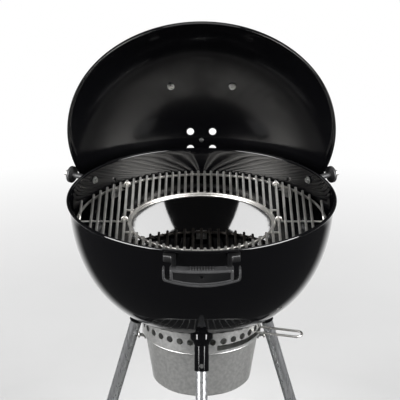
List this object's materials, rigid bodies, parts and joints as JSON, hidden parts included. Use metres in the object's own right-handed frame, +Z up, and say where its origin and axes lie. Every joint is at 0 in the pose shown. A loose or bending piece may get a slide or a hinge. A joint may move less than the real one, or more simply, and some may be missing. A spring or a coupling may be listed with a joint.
{
  "type": "kettle charcoal grill",
  "caption": "Open kettle charcoal grill with a hinged round grate, parked domed lid, ash bucket and a wheeled three-legged stand.",
  "frame": {"origin": "on the floor under the middle of the grill's outline", "axes": "+Z up, -Y towards the cook at the bowl's handle, +X to the right towards the ash lever"},
  "size_m": [0.621, 0.7374, 1.1608],
  "materials": {
    "enamel": "gloss black porcelain enamel",
    "nylon": "black glass-reinforced nylon",
    "steel": "nickel-plated steel wire",
    "aluminised": "aluminised sheet steel",
    "aluminium": "anodised aluminium tube",
    "zinc": "zinc-plated fasteners",
    "bare_steel": "bare heavy steel wire",
    "tyre": "moulded tyre"
  },
  "bodies": {
    "stand": {"axle": "zinc", "bottom_rack": "steel", "bowl_handle": "nylon", "bowl_shell": "enamel", "charcoal_grate_tabs": "aluminised", "cooking_grate_tabs": "aluminised", "draught_band": "aluminised", "front_foot": "nylon", "handle_bolts": "zinc", "leg_front": "aluminium", "leg_left": "aluminium", "leg_right": "aluminium", "leg_screws": "zinc", "leg_socket_front": "enamel", "leg_socket_left": "enamel", "leg_socket_right": "enamel", "lid_hoop": "steel", "rack_clips": "zinc", "spool_bolt_left": "zinc", "spool_bolt_right": "zinc", "spool_left": "nylon", "spool_right": "nylon", "wheel_cap_left": "nylon", "wheel_cap_right": "nylon"},
    "lid": {"lid_shell": "enamel", "lid_handle": "nylon", "handle_heat_shield": "aluminised", "lid_handle_bolts": "zinc", "damper_rivet": "zinc"},
    "damper": {"damper_disc": "aluminised"},
    "cooking_grate": {"cooking_grate_frame": "steel"},
    "flap_left": {"grate_flap_left": "steel"},
    "flap_right": {"grate_flap_right": "steel"},
    "coal_grate": {"charcoal_grate": "bare_steel"},
    "sweeper": {"sweeper_shaft": "zinc", "sweeper_blades": "aluminised", "sweeper_lever": "steel"},
    "bucket": {"ash_bucket": "aluminised", "bail_studs": "zinc"},
    "bail": {"bucket_bail": "steel"},
    "wheel_left": {"wheel_hub_left": "nylon", "wheel_tyre_left": "tyre"},
    "wheel_right": {"wheel_hub_right": "nylon", "wheel_tyre_right": "tyre"}
  },
  "joints": [
    {"name": "lid_lift", "type": "slide", "parent": "stand", "child": "lid", "axis": [0, 0.454, 0.891], "range_m": [0, 0.4]},
    {"name": "damper_turn", "type": "hinge", "parent": "lid", "child": "damper", "pos_m": [0, 0.32442, 0.79385], "axis": [0, 0.9905, -0.1374], "range_deg": [0, 34]},
    {"name": "cooking_grate_lift", "type": "slide", "parent": "stand", "child": "cooking_grate", "axis": [0, 0, 1], "range_m": [0, 0.15]},
    {"name": "flap_left_turn", "type": "hinge", "parent": "cooking_grate", "child": "flap_left", "pos_m": [-0.16445, -0.00768, 0.741], "axis": [0, 1, 0], "range_deg": [0, 95]},
    {"name": "flap_right_turn", "type": "hinge", "parent": "cooking_grate", "child": "flap_right", "pos_m": [0.16445, -0.00768, 0.741], "axis": [0, -1, 0], "range_deg": [0, 95]},
    {"name": "charcoal_grate_lift", "type": "slide", "parent": "stand", "child": "coal_grate", "axis": [0, 0, 1], "range_m": [0, 0.09]},
    {"name": "sweeper_turn", "type": "hinge", "parent": "stand", "child": "sweeper", "pos_m": [0, -0.00768, 0.51], "axis": [0, 0, 1], "range_deg": [-50, 0]},
    {"name": "bucket_drop", "type": "slide", "parent": "stand", "child": "bucket", "axis": [0, 0, -1], "range_m": [0, 0.15]},
    {"name": "bail_swing", "type": "hinge", "parent": "bucket", "child": "bail", "pos_m": [0, -0.00768, 0.4675], "axis": [1, 0, 0], "range_deg": [0, 34]},
    {"name": "wheel_left_spin", "type": "hinge", "parent": "stand", "child": "wheel_left", "pos_m": [-0.279, 0.131, 0.1], "axis": [1, 0, 0], "continuous": true},
    {"name": "wheel_right_spin", "type": "hinge", "parent": "stand", "child": "wheel_right", "pos_m": [0.279, 0.131, 0.1], "axis": [1, 0, 0], "continuous": true}
  ]
}
